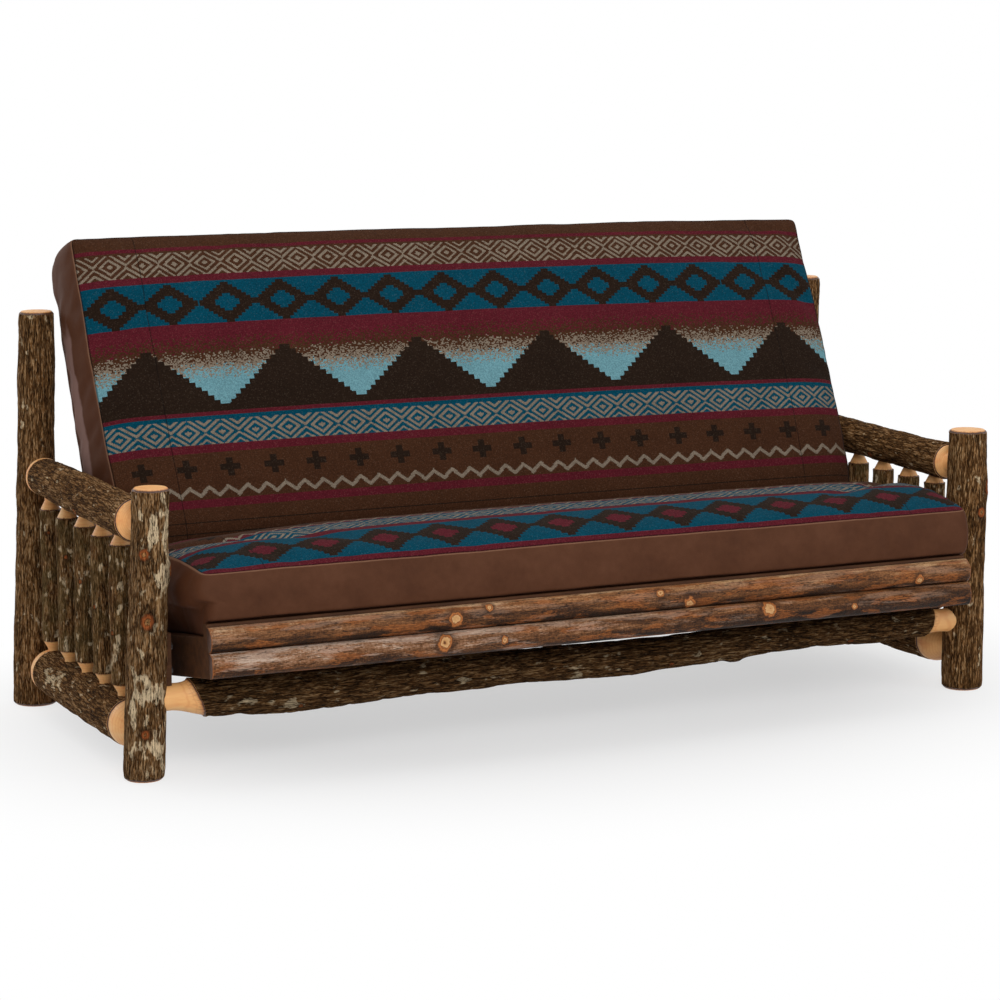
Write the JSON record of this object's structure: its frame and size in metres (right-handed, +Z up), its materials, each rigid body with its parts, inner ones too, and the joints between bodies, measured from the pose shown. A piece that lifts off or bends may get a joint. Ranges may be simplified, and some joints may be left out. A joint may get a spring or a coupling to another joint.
{
  "type": "log futon",
  "caption": "Rustic bark-on log futon sofa bed: log end frames with spindles, a folding slatted deck on curved slot tracks and a thick patterned mattress.",
  "frame": {"origin": "on the floor, under the middle of the whole futon's box", "axes": "+X along the width to the sitter's left, +Y to the rear, +Z up"},
  "size_m": [2.1675, 1.0393, 1.0868],
  "materials": {
    "bark_log": "rough bark",
    "split_log": "oiled split log",
    "stained_board": "dark stain",
    "dark_steel": "satin",
    "nylon": "matte",
    "mattress_cover": "woven"
  },
  "bodies": {
    "frame": {"front_post_left": "bark_log", "front_post_right": "bark_log", "rear_post_left": "bark_log", "rear_post_right": "bark_log", "arm_log_left": "bark_log", "arm_log_right": "bark_log", "lower_log_left": "bark_log", "lower_log_right": "bark_log", "spindle_left_1": "bark_log", "spindle_left_2": "bark_log", "spindle_left_3": "bark_log", "spindle_left_4": "bark_log", "spindle_left_5": "bark_log", "spindle_right_1": "bark_log", "spindle_right_2": "bark_log", "spindle_right_3": "bark_log", "spindle_right_4": "bark_log", "spindle_right_5": "bark_log", "front_stretcher": "bark_log", "rear_stretcher": "bark_log", "track_board_left": "stained_board", "track_board_right": "stained_board", "track_bolts_left": "dark_steel", "track_bolts_right": "dark_steel"},
    "glide": {"fold_pin_left": "dark_steel", "fold_pin_right": "dark_steel", "slot_bush_left": "nylon", "slot_bush_right": "nylon"},
    "seat": {"seat_rail_left": "stained_board", "seat_rail_right": "stained_board", "seat_front_board": "stained_board", "seat_rear_rail": "stained_board", "seat_front_cleat": "stained_board", "seat_rear_cleat": "stained_board", "seat_middle_beam": "stained_board", "seat_slats": "stained_board", "lower_half_log": "split_log", "upper_half_log": "split_log", "seat_hinge_plate_left": "dark_steel", "seat_hinge_plate_right": "dark_steel", "seat_plate_bolts_left": "dark_steel", "seat_plate_bolts_right": "dark_steel", "seat_cushion": "mattress_cover"},
    "back": {"back_stile_left": "stained_board", "back_stile_right": "stained_board", "back_bottom_rail": "stained_board", "back_middle_rail": "stained_board", "back_top_rail": "stained_board", "back_slats": "stained_board", "back_hinge_plate_left": "dark_steel", "back_hinge_plate_right": "dark_steel", "back_plate_bolts_left": "dark_steel", "back_plate_bolts_right": "dark_steel", "back_cushion": "mattress_cover"}
  },
  "joints": [
    {"name": "glide", "type": "hinge", "parent": "frame", "child": "glide", "pos_m": [0, -0.23648, -0.45016], "axis": [1, 0, 0], "range_deg": [0, 17.61]},
    {"name": "seat_tilt", "type": "hinge", "parent": "glide", "child": "seat", "pos_m": [0, 0.12024, 0.19278], "axis": [1, 0, 0], "range_deg": [-8.11, 0]},
    {"name": "back_fold", "type": "hinge", "parent": "seat", "child": "back", "pos_m": [0, 0.12024, 0.19278], "axis": [1, 0, 0], "range_deg": [-72.5, 0]}
  ],
  "couplings": [
    {"joint": "seat_tilt", "follows": "glide", "ratio": -0.46058},
    {"joint": "back_fold", "follows": "glide", "ratio": -4.1166}
  ]
}
